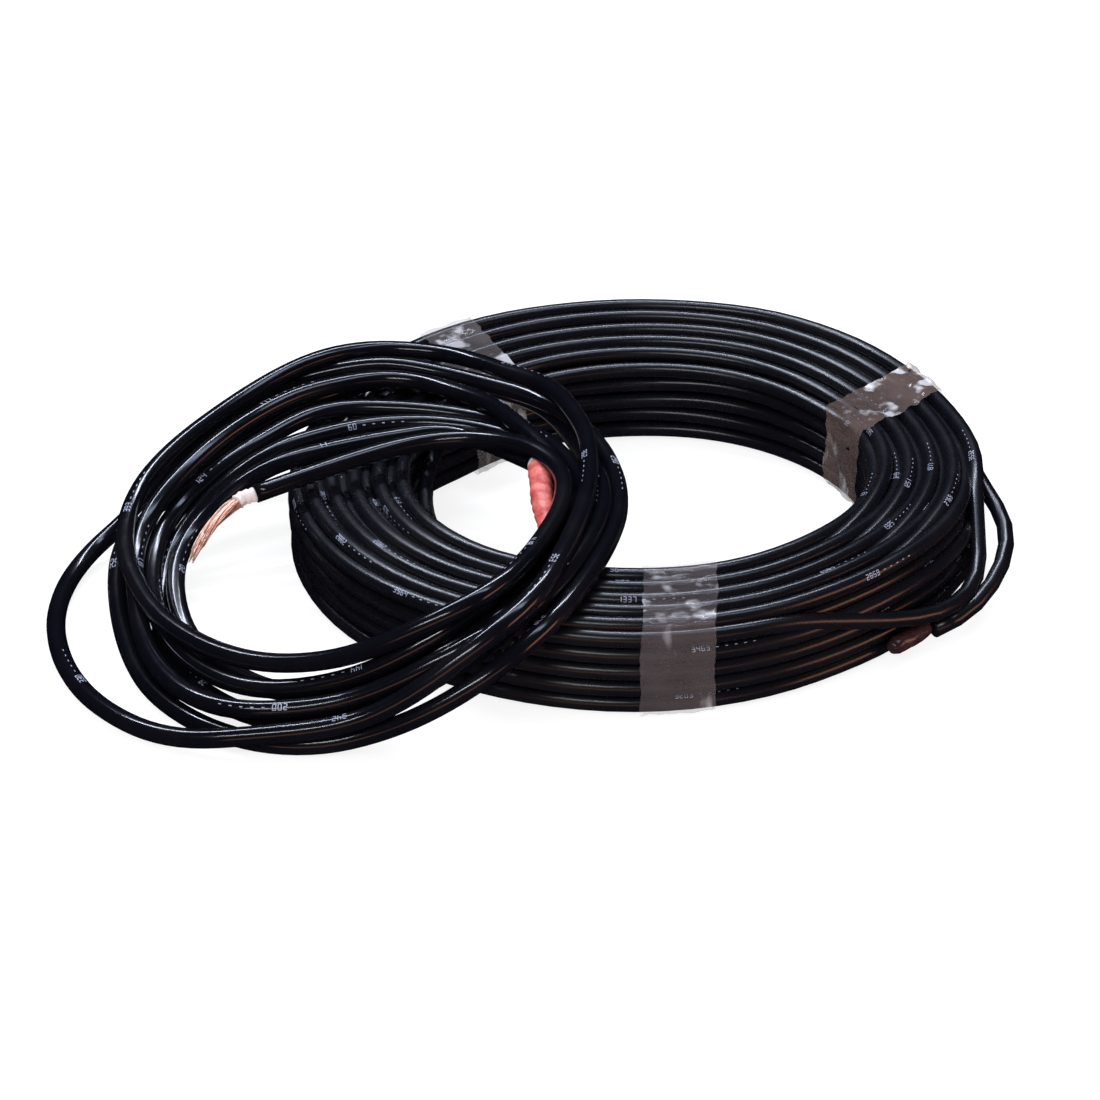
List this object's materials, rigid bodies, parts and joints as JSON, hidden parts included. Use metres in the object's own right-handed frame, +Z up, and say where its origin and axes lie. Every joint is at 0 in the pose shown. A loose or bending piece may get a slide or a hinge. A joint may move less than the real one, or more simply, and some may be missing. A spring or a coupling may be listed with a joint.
{
  "type": "underfloor heating cable kit",
  "caption": "Heating cable in a flat taped coil, spliced to a cold lead in a smaller loose coil that leans on it, with its end stripped.",
  "frame": {"origin": "middle of the whole kit's footprint, on the floor", "axes": "+Z up, +X to the right and -Y towards the viewer of the picture, with the small coil at -X"},
  "size_m": [0.3824, 0.3138, 0.0584],
  "materials": {
    "heating_jacket": "satin black cable jacket",
    "cold_jacket": "glossy black cable jacket",
    "tape": "clear wrinkled packing tape",
    "seal": "dark glossy shrunk seal",
    "sleeve": "wrinkled red sleeve",
    "core": "pale core insulation",
    "copper": "bare fine copper strands"
  },
  "bodies": {
    "root": {"heating_coil": "heating_jacket", "heating_loop_large": "heating_jacket", "heating_loop_small": "heating_jacket", "heating_lead_in": "heating_jacket", "cold_lead_coil": "cold_jacket", "cold_lead_loop": "cold_jacket", "cold_lead_tail": "cold_jacket", "tape_front": "tape", "tape_right": "tape", "tape_left": "tape", "end_seal": "seal", "splice_sleeve": "sleeve", "core_insulation": "core", "conductor_strands": "copper"}
  },
  "joints": []
}
